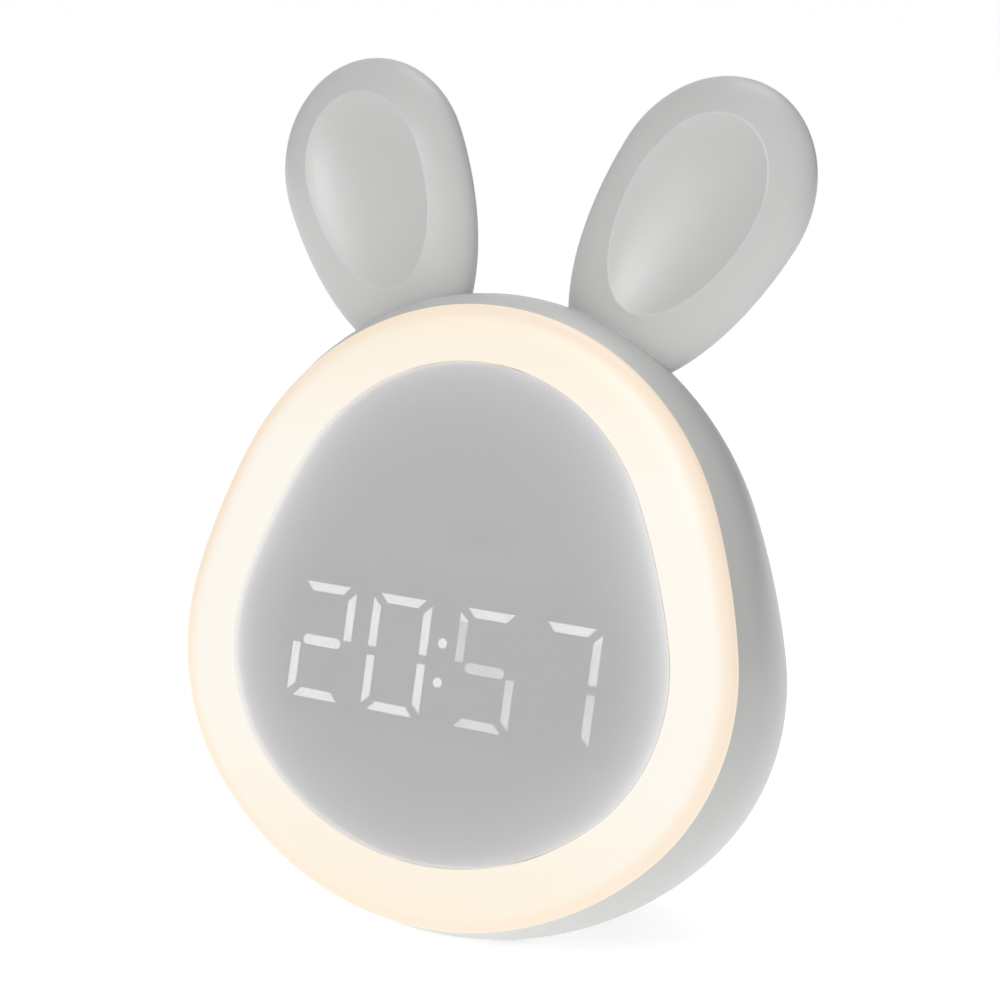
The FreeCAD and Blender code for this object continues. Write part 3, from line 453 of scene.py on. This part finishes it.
@dataclass(frozen=True)
class EdgeGlow(Finish):
    """Ring light that leaks into the edge of the panel and fades inwards."""

    front_centre: Vector
    near_strength: float = 0.12
    near_falloff: float = 12.0
    wide_strength: float = 0.12
    wide_falloff: float = 3.0
    side_mm: float = 28.0
    end_mm: float = 54.0
    end_share: float = 0.5

    def surface(self, tree: bpy.types.NodeTree) -> bpy.types.NodeSocket:
        """Lay out a clear sheet with light that is strongest at the panel's edge.

        Args:
            tree: The material's node tree, which is empty.

        Returns:
            The shader's output socket.
        """
        places = add_node(tree, "ShaderNodeTexCoord").outputs
        along = add_node(tree, "ShaderNodeSeparateXYZ", links={0: places["UV"]})
        inwards = add_node(tree, "ShaderNodeMath", {"operation": "SUBTRACT", 0: 1.0},
                           {1: along.outputs["Y"]})
        # A bright line at the edge, and a wide faint haze from light inside the panel.
        bands = []
        for strength, falloff in ((self.near_strength, self.near_falloff),
                                  (self.wide_strength, self.wide_falloff)):
            steep = add_node(tree, "ShaderNodeMath", {"operation": "POWER", 1: falloff},
                             {0: inwards.outputs["Value"]})
            bands.append(add_node(tree, "ShaderNodeMath", {"operation": "MULTIPLY", 1: strength},
                                  {0: steep.outputs["Value"]}))
        total = add_node(tree, "ShaderNodeMath", {"operation": "ADD"},
                         {i: band.outputs["Value"] for i, band in enumerate(bands)})
        # The ring is weaker at its top and bottom, and so is what leaks from it.
        ends = nearness_to_ends(tree, places["Object"], self.front_centre, self.side_mm,
                                self.end_mm)
        share = add_node(tree, "ShaderNodeMapRange", {"To Min": 1.0, "To Max": self.end_share},
                         {"Value": ends})
        level = add_node(tree, "ShaderNodeMath", {"operation": "MULTIPLY"},
                         {0: total.outputs["Value"], 1: share.outputs["Result"]})
        light = add_node(tree, "ShaderNodeEmission", {"Color": linear(Tone.EDGE_GLOW)},
                         {"Strength": level.outputs["Value"]})
        clear = add_node(tree, "ShaderNodeBsdfTransparent")
        both = add_node(tree, "ShaderNodeAddShader",
                        links={0: clear.outputs["BSDF"], 1: light.outputs["Emission"]})
        return both.outputs["Shader"]


@dataclass(frozen=True)
class PlatedMetal(Finish):
    """Rolled or turned metal under a thin plating, with fine lines from the tool."""

    tone: Tone
    roughness: float = 0.32
    # Tool lines are about 0.02 mm apart. They are drawn coarser, for close views.
    line_mm: float = 0.12
    line_depth_mm: float = 0.002
    line_detail: float = 4.0
    # Along Z the pattern changes at only this share of its pace, so its lines run upwards.
    line_density: float = 0.08
    wear: float = 0.06

    def surface(self, tree: bpy.types.NodeTree) -> bpy.types.NodeSocket:
        """Lay out bare metal with drawn lines and uneven plating.

        Args:
            tree: The material's node tree, which is empty.

        Returns:
            The shader's output socket.
        """
        place = add_node(tree, "ShaderNodeTexCoord").outputs["Object"]
        drawn = add_node(tree, "ShaderNodeMapping", {"Scale": (1.0, 1.0, self.line_density)},
                         {"Vector": place})
        lines = add_node(tree, "ShaderNodeTexNoise",
                         {"Scale": 1 / (self.line_mm * MM), "Detail": self.line_detail},
                         {"Vector": drawn.outputs["Vector"]})
        gloss = add_node(tree, "ShaderNodeMapRange",
                         {"To Min": self.roughness - self.wear,
                          "To Max": self.roughness + self.wear},
                         {"Value": lines.outputs["Fac"]})
        bump = add_node(tree, "ShaderNodeBump",
                        {"Strength": 1.0, "Distance": self.line_depth_mm * MM},
                        {"Height": lines.outputs["Fac"]})
        shader = add_node(tree, "ShaderNodeBsdfPrincipled",
                          {"Base Color": linear(self.tone), "Metallic": 1.0,
                           "Roughness": self.roughness},
                          {"Roughness": gloss.outputs["Result"],
                           "Normal": bump.outputs["Normal"]})
        return shader.outputs["BSDF"]


@dataclass(frozen=True)
class CircuitBoard(Finish):
    """Glass-epoxy board under solder mask, with its copper tracks just showing."""

    tone: Tone
    # Tracks of such boards lie about 0.5 mm apart. They are drawn coarser, for close views.
    track_mm: float = 2.2
    track_share: float = 0.18
    track_gain: float = 1.5
    track_lift: float = 0.01
    copper_mm: float = 0.035
    roughness: float = 0.3
    ior: float = 1.55

    def surface(self, tree: bpy.types.NodeTree) -> bpy.types.NodeSocket:
        """Lay out glossy mask over a net of slightly raised tracks.

        Args:
            tree: The material's node tree, which is empty.

        Returns:
            The shader's output socket.
        """
        place = add_node(tree, "ShaderNodeTexCoord").outputs["Object"]
        net = add_node(tree, "ShaderNodeTexVoronoi",
                       {"feature": "DISTANCE_TO_EDGE", "distance": "MANHATTAN",
                        "Scale": 1 / (self.track_mm * MM)}, {"Vector": place})
        track = add_node(tree, "ShaderNodeMapRange",
                         {"From Max": self.track_share, "To Min": 1.0, "To Max": 0.0},
                         {"Value": net.outputs["Distance"]})
        tone = linear(self.tone)
        colour = add_node(tree, "ShaderNodeMix",
                          {"data_type": "RGBA", 6: tone,
                           7: shaded(tone, self.track_gain, self.track_lift)},
                          {0: track.outputs["Result"]})
        bump = add_node(tree, "ShaderNodeBump",
                        {"Strength": 1.0, "Distance": self.copper_mm * MM},
                        {"Height": track.outputs["Result"]})
        shader = add_node(tree, "ShaderNodeBsdfPrincipled",
                          {"Base Color": tone, "Roughness": self.roughness, "IOR": self.ior},
                          {"Base Color": colour.outputs[2], "Normal": bump.outputs["Normal"]})
        return shader.outputs["BSDF"]


@dataclass(frozen=True)
class SoftRubber(Finish):
    """Rubber or foam: matt, slightly open-pored, with a dusty sheen."""

    tone: Tone
    # Pores are about 0.1 mm wide. They are drawn coarser, for close views.
    pore_mm: float = 0.4
    pore_depth_mm: float = 0.02
    pore_shade: float = 0.8
    roughness: float = 0.85
    ior: float = 1.5
    sheen: float = 0.15

    def surface(self, tree: bpy.types.NodeTree) -> bpy.types.NodeSocket:
        """Lay out a matt skin with pores in its colour and its bump.

        Args:
            tree: The material's node tree, which is empty.

        Returns:
            The shader's output socket.
        """
        place = add_node(tree, "ShaderNodeTexCoord").outputs["Object"]
        pores = add_node(tree, "ShaderNodeTexVoronoi", {"Scale": 1 / (self.pore_mm * MM)},
                         {"Vector": place})
        tone = linear(self.tone)
        # Painted shade: the colour darkens towards each pore's pit, where the bump is lowest.
        colour = add_node(tree, "ShaderNodeMix",
                          {"data_type": "RGBA", 6: shaded(tone, self.pore_shade), 7: tone},
                          {0: pores.outputs["Distance"]})
        bump = add_node(tree, "ShaderNodeBump",
                        {"Strength": 1.0, "Distance": self.pore_depth_mm * MM},
                        {"Height": pores.outputs["Distance"]})
        shader = add_node(tree, "ShaderNodeBsdfPrincipled",
                          {"Base Color": tone, "Roughness": self.roughness, "IOR": self.ior,
                           "Sheen Weight": self.sheen},
                          {"Base Color": colour.outputs[2], "Normal": bump.outputs["Normal"]})
        return shader.outputs["BSDF"]


@dataclass(frozen=True)
class LitPaper(Finish):
    """Back-lit paper: it stays white round the clock, and throws light up at its underside."""

    glow: float

    def surface(self, tree: bpy.types.NodeTree) -> bpy.types.NodeSocket:
        """Lay out matt white paper with a glow.

        Args:
            tree: The material's node tree, which is empty.

        Returns:
            The shader's output socket.
        """
        shader = add_node(tree, "ShaderNodeBsdfPrincipled",
                          {"Base Color": linear(Tone.PAPER_WHITE), "Roughness": 1.0,
                           "Specular IOR Level": 0.0,
                           "Emission Color": linear(Tone.PAPER_WHITE),
                           "Emission Strength": self.glow})
        return shader.outputs["BSDF"]


def dress(nodes: list[str], finish: Finish) -> None:
    """Give CAD nodes a finish.

    Args:
        nodes: Names of the CAD nodes.
        finish: The finish that they share.
    """
    material = finish.material()
    for name in nodes:
        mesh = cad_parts[name].data
        mesh.materials.clear()
        mesh.materials.append(material)
    LOG.info("%s dresses %s", material.name, ", ".join(nodes))


@dataclass
class Case:
    """Front housing with its ears, rear cover, ear caps and feet."""

    shell_nodes: list[str] = field(default_factory=lambda: [
        "front_housing", "rear_cover", "left_ear_cap", "right_ear_cap"])
    feet: list[str] = field(default_factory=lambda: [
        "front_foot_left", "front_foot_right", "rear_foot_left", "rear_foot_right"])

    def build(self) -> None:
        """Dress the mouldings and the feet."""
        # Spark-eroded ABS is satin, with a soft highlight and a painted highlight line at corners.
        dress(self.shell_nodes, MouldedPlastic("satin_abs", Tone.SAGE_GREY, roughness=0.33,
                                               edge_mm=0.5, edge_highlight_gain=0.16))
        # Moulded rubber is matt and a little dusty.
        dress(self.feet, SoftRubber("moulded_rubber", Tone.FOOT_GREY))


@dataclass
class NightLight:
    """Lit ring, the frame behind it, and the board with its diodes."""

    front_centre: Vector

    def build(self) -> None:
        """Dress the ring, frame, board and diodes."""
        # Opal polycarbonate hides its diodes and glows evenly.
        dress(["diffuser_ring"], LitDiffuser("opal_polycarbonate", self.front_centre))
        # White ABS throws the diodes' light forward, and is matt.
        dress(["light_frame"],
              MouldedPlastic("white_abs", Tone.MOULDED_WHITE, roughness=0.55))
        # White mask on the board reflects light, with faint tracks under it.
        dress(["ring_led_board"], CircuitBoard("white_solder_mask", Tone.MASK_WHITE))
        # Phosphor in clear resin is yellow and glossy.
        dress(["ring_leds"], MouldedPlastic("phosphor_resin", Tone.PHOSPHOR, roughness=0.25))


@dataclass
class Display:
    """Window panel, the figures behind it, and the glow in the panel's edge."""

    front_centre: Vector
    dot_margin_mm: float = 2.0
    dot_strength: float = 2.4
    plane_tolerance_mm: float = 0.01
    point_spacing_mm: float = 0.05
    glow_width_mm: float = 24.0
    glow_lift_mm: float = 0.04
    glow_rows: int = 8

    def build(self) -> None:
        """Dress the display and add the glow."""
        low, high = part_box("lit_segments")
        dots_low, dots_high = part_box("colon_dots")
        colon_x = (dots_low.x + dots_high.x) / 2
        # Acrylic with a grey film is satin in front, and lets the figures through softly.
        dress(["display_window"], SmokedPanel("smoked_acrylic", self.front_centre))
        # The block and the unlit segments are dark resin, which the film hides.
        dress(["display_module"], MouldedPlastic("display_resin", Tone.DISPLAY_DARK))
        dress(["dark_segments"], MouldedPlastic("unlit_resin", Tone.FIGURE_OFF))
        # Diffusing resin glows evenly over each segment, and the dots are brightest.
        dress(["lit_segments"],
              LitFigure("lit_resin", colon_x + self.dot_margin_mm * MM, (colon_x + high.x) / 2,
                        low.z, high.z))
        dress(["colon_dots"], LitFigure("lit_dot_resin", high.x, high.x, low.z, high.z,
                                        strength=self.dot_strength))
        # Green mask is glossy, with faint tracks under it.
        dress(["display_board"], CircuitBoard("green_solder_mask", Tone.MASK_GREEN))
        self.edge_glow()

    def outline(self) -> list[Vector]:
        """Read the panel's front outline from its CAD node.

        Returns:
            Points round the front edge, in order.
        """
        points = []
        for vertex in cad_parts["display_window"].data.vertices:
            away = (vertex.co - self.front_centre).dot(FACE_NORMAL)
            if abs(away) < self.plane_tolerance_mm * MM:
                points.append(vertex.co.copy())
        middle = sum(points, Vector()) / len(points)
        upwards = Vector((1.0, 0.0, 0.0)).cross(FACE_NORMAL)
        points.sort(key=lambda p: math.atan2((p - middle).dot(upwards), (p - middle).x))
        spacing = self.point_spacing_mm * MM
        return [p for i, p in enumerate(points) if (p - points[i - 1]).length > spacing]

    def edge_glow(self) -> None:
        """Add the band of light that leaks from the ring into the panel's edge."""
        edge = self.outline()
        count = len(edge)
        lift = FACE_NORMAL * self.glow_lift_mm * MM
        vertices = []
        for row in range(self.glow_rows + 1):
            reach = self.glow_width_mm * MM * row / self.glow_rows
            for i, point in enumerate(edge):
                along = (edge[(i + 1) % count] - edge[i - 1]).normalized()
                inwards = along.cross(FACE_NORMAL).normalized()
                if inwards.dot(self.front_centre - point) < 0:
                    inwards.negate()
                vertices.append(point + inwards * reach + lift)
        faces = []
        for row in range(self.glow_rows):
            for i in range(count):
                following = (i + 1) % count
                faces.append((row * count + i, row * count + following,
                              (row + 1) * count + following, (row + 1) * count + i))
        mesh = bpy.data.meshes.new("panel_edge_glow")
        mesh.from_pydata(vertices, [], faces)
        layer = mesh.uv_layers.new(name="fade")
        for loop in mesh.loops:
            row = loop.vertex_index // count
            layer.data[loop.index].uv = (0.0, row / self.glow_rows)
        mesh.materials.append(EdgeGlow("leaking_ring_light", self.front_centre).material())
        band = bpy.data.objects.new("panel_edge_glow", mesh)
        bpy.context.scene.collection.objects.link(band)
        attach(band, ROOT_BODY)
        LOG.info("panel_edge_glow has %d points round the panel", count)


@dataclass
class RearControls:
    """Buttons, switches, socket and main board."""

    names: tuple[str, ...] = ("down", "set", "light", "alarm", "up")

    def build(self) -> None:
        """Dress the controls and the electronics that carry them."""
        buttons = [name + "_button" for name in self.names]
        switches = [name + "_switch" for name in self.names]
        # Buttons are ABS like the case, paler and a little less glossy.
        dress(buttons, MouldedPlastic("button_abs", Tone.BUTTON_GREY, roughness=0.42))
        # Glass-filled nylon is black and half matt.
        dress(switches + ["board_parts", "power_switch_knob"],
              MouldedPlastic("black_nylon", Tone.SOOT_BLACK))
        # Tinned steel is bright grey, with fine rolling lines.
        dress(["usb_socket", "power_switch_body"], PlatedMetal("tinned_steel", Tone.TIN))
        # The main board's mask is as green and as glossy as the display board's.
        dress(["main_board"], CircuitBoard("main_solder_mask", Tone.MASK_GREEN))


@dataclass
class SoundAndPower:
    """Speaker, battery and what holds them."""

    def build(self) -> None:
        """Dress the speaker and the battery."""
        # Galvanised steel is duller than tinned steel.
        dress(["speaker_frame"], PlatedMetal("galvanised_steel", Tone.TIN, roughness=0.4))
        # Pressed film has a slight orange peel.
        dress(["speaker_cone"],
              MouldedPlastic("pressed_film", Tone.CONE_BLACK, roughness=0.4, grain_mm=1.2))
        # Closed-cell foam is black, matt and pitted.
        dress(["speaker_gasket", "battery_tape"], SoftRubber("closed_cell_foam", Tone.FOAM_BLACK))
        # The cell's foil pouch is bright, and wrinkled over a few millimetres.
        dress(["battery_cell"], PlatedMetal("pouch_foil", Tone.FOIL, roughness=0.3, line_mm=2.5,
                                            line_depth_mm=0.05))


@dataclass
class Fasteners:
    """Screws of the case, the light frame and the main board."""

    groups: tuple[str, ...] = ("case_screw", "frame_screw", "board_screw")
    count: int = 4

    def build(self) -> None:
        """Dress every screw."""
        names = [f"{group}_{i}" for group in self.groups for i in range(1, self.count + 1)]
        # Black zinc is a dark metal with a soft shine.
        dress(names, PlatedMetal("black_zinc", Tone.SOOT_BLACK, roughness=0.38))


@dataclass(frozen=True)
class SoftLight:
    """A square soft light that looks at the clock. Sizes are in metres."""

    name: str
    place: tuple[float, float, float]
    size: float
    watts: float

    def build(self, target: Vector) -> None:
        """Hang the light.

        Args:
            target: The point that it looks at.
        """
        light = bpy.data.lights.new(self.name, "AREA")
        light.size = self.size
        light.energy = self.watts
        lamp = bpy.data.objects.new(self.name, light)
        lamp.location = self.place
        lamp.rotation_euler = (target - Vector(self.place)).to_track_quat("-Z", "Y").to_euler()
        bpy.context.scene.collection.objects.link(lamp)


@dataclass
class Studio:
    """White table, soft lights and the camera at the photograph's angle. Sizes are in metres."""

    azimuth_deg: float = 28.13
    elevation_deg: float = 13.73
    roll_deg: float = 1.07
    distance: float = 516.4 * MM
    target: Vector = field(default_factory=lambda: Vector((3.5, 1.0, 93.6)) * MM)
    lens_mm: float = 86.4
    sensor_mm: float = 36.0
    floor_size: float = 24.0
    floor_glow: float = 0.48
    room_light: float = 0.95
    side_light: float = 0.0
    # How nearly sideways light comes from where it starts to dim, and where it is dimmest.
    dim_start: float = 0.05
    dim_end: float = 0.85
    lights: tuple[SoftLight, ...] = (SoftLight("key", (-0.24, -1.05, 0.72), 0.26, 3.5),
                                     SoftLight("overhead", (0.0, 0.12, 1.1), 0.5, 1.6))

    def build(self) -> None:
        """Make the table, lights, surroundings and camera."""
        self.floor()
        self.surroundings()
        for light in self.lights:
            light.build(self.target)
        self.camera()
        bpy.context.scene.view_settings.view_transform = "Standard"

    def floor(self) -> None:
        """Lay the pale table top."""
        half = self.floor_size / 2
        mesh = bpy.data.meshes.new("table_top")
        corners = [(-half, -half, 0), (half, -half, 0), (half, half, 0), (-half, half, 0)]
        mesh.from_pydata(corners, [], [(0, 1, 2, 3)])
        mesh.materials.append(LitPaper("white_paper_sweep", self.floor_glow).material())
        table = bpy.data.objects.new("table_top", mesh)
        bpy.context.scene.collection.objects.link(table)

    def surroundings(self) -> None:
        """Surround the clock with white light that is weaker from its two sides."""
        world = bpy.data.worlds.new("white_room")
        world.use_nodes = True
        tree = world.node_tree
        azimuth = math.radians(self.azimuth_deg)
        sideways = Vector((math.cos(azimuth), math.sin(azimuth), 0.0))
        direction = add_node(tree, "ShaderNodeTexCoord").outputs["Generated"]
        across = add_node(tree, "ShaderNodeVectorMath",
                          {"operation": "DOT_PRODUCT", 1: sideways}, {0: direction})
        aside = add_node(tree, "ShaderNodeMath", {"operation": "ABSOLUTE"},
                         {0: across.outputs["Value"]})
        level = add_node(tree, "ShaderNodeMapRange",
                         {"interpolation_type": "SMOOTHSTEP", "From Min": self.dim_start,
                          "From Max": self.dim_end, "To Min": self.room_light,
                          "To Max": self.side_light}, {"Value": aside.outputs["Value"]})
        # The backdrop is plain white in the picture, whatever light it gives.
        seen = add_node(tree, "ShaderNodeLightPath").outputs["Is Camera Ray"]
        brightness = add_node(tree, "ShaderNodeMix", {"data_type": "FLOAT", 3: 1.0},
                              {0: seen, 2: level.outputs["Result"]})
        background = tree.nodes["Background"]
        background.inputs["Color"].default_value = linear(Tone.PAPER_WHITE)
        tree.links.new(brightness.outputs["Result"], background.inputs["Strength"])
        bpy.context.scene.world = world

    def camera(self) -> None:
        """Stand the camera where the photograph was taken from."""
        azimuth = math.radians(self.azimuth_deg)
        elevation = math.radians(self.elevation_deg)
        away = Vector((math.sin(azimuth) * math.cos(elevation),
                       -math.cos(azimuth) * math.cos(elevation), math.sin(elevation)))
        data = bpy.data.cameras.new("photograph")
        data.lens = self.lens_mm
        data.sensor_width = self.sensor_mm
        view = bpy.data.objects.new("photograph", data)
        facing = (-away).to_track_quat("-Z", "Y").to_matrix().to_4x4()
        roll = Matrix.Rotation(math.radians(self.roll_deg), 4, "Z")
        view.matrix_world = (Matrix.Translation(self.target + away * self.distance)
                             @ facing @ roll)
        bpy.context.scene.collection.objects.link(view)
        bpy.context.scene.camera = view


def face_centre() -> Vector:
    """Find the point of the panel's front plane at the middle of its outline.

    Returns:
        The point, in metres.
    """
    corners = [vertex.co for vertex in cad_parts["display_window"].data.vertices]
    front = max(corners, key=lambda point: point.dot(FACE_NORMAL))
    low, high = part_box("display_window")
    middle = (low + high) / 2
    return middle + FACE_NORMAL * (front - middle).dot(FACE_NORMAL)


def main() -> None:
    """Build every sub-assembly in order."""
    logging.basicConfig(level=logging.INFO, format="%(message)s")
    centre = face_centre()
    for part in (Case(), NightLight(centre), Display(centre), RearControls(), SoundAndPower(),
                 Fasteners(), Studio()):
        part.build()
        LOG.info("%s is built", type(part).__name__)


if __name__ == "__main__":
    main()
